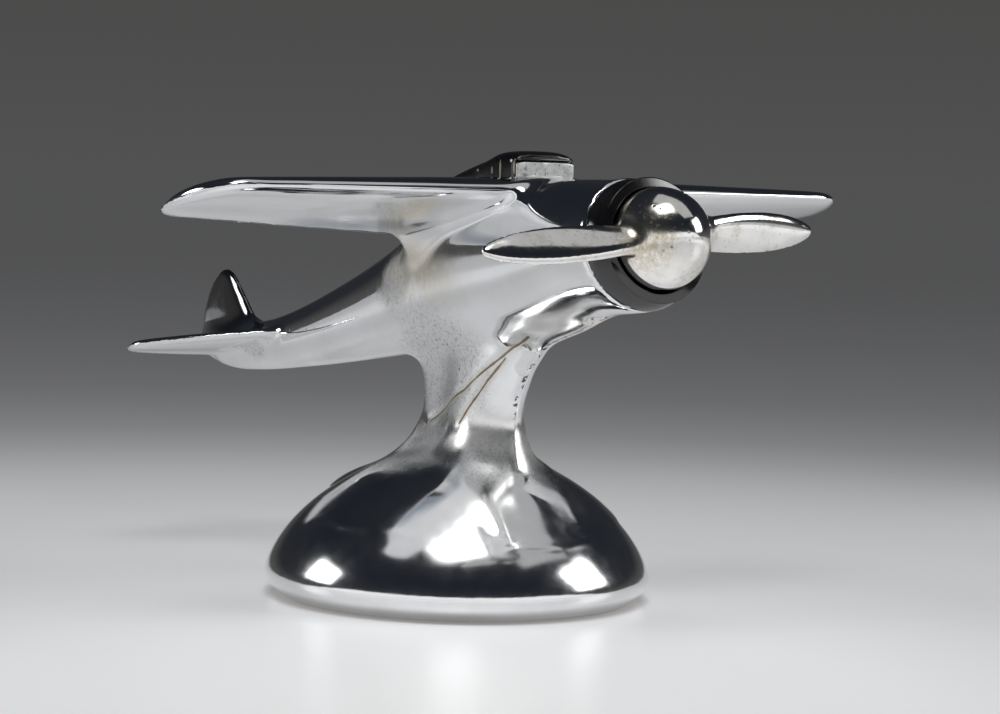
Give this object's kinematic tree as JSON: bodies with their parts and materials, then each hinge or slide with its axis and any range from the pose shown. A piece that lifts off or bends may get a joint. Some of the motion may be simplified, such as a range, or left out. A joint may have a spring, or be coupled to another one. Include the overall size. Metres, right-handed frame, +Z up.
{
  "type": "hood ornament",
  "caption": "Chrome-plated aeroplane hood ornament on a domed pedestal, with an enamelled cowl ring and canopy and a free-turning two-blade propeller.",
  "frame": {"origin": "centre of the underside of the base pad, the face that the ornament stands on", "axes": "+Z up. -Y towards the propeller, +Y towards the tail. -X towards the starboard wing tip, +X towards the port wing tip"},
  "size_m": [0.1474, 0.1831, 0.0881],
  "materials": {
    "chrome_plate": "polished chrome plate over zinc, hazed and pitted with age",
    "black_enamel": "gloss black enamel, chipped at the edges",
    "bare_metal": "dull mottled bare metal",
    "steel": "plain machined steel",
    "brass": "turned brass",
    "pad": "thin dark brown felt"
  },
  "bodies": {
    "airframe": {"body_casting": "chrome_plate", "cowl_ring": "black_enamel", "canopy": "black_enamel", "windscreen": "bare_metal", "canopy_pin_front": "steel", "canopy_pin_rear": "steel", "shaft_bush": "brass", "thrust_washer": "brass", "shaft_set_screw": "steel", "base_plate": "steel", "base_plate_screw_1": "steel", "base_plate_screw_2": "steel", "base_plate_screw_3": "steel", "stud_insert_front": "brass", "stud_insert_rear": "brass", "base_pad": "pad"},
    "propeller_assembly": {"propeller": "chrome_plate", "propeller_shaft": "steel"}
  },
  "joints": [
    {"name": "propeller_spin", "type": "hinge", "parent": "airframe", "child": "propeller_assembly", "pos_m": [0, -0.05702, 0.07146], "axis": [0, -0.9753, 0.2207], "continuous": true}
  ]
}
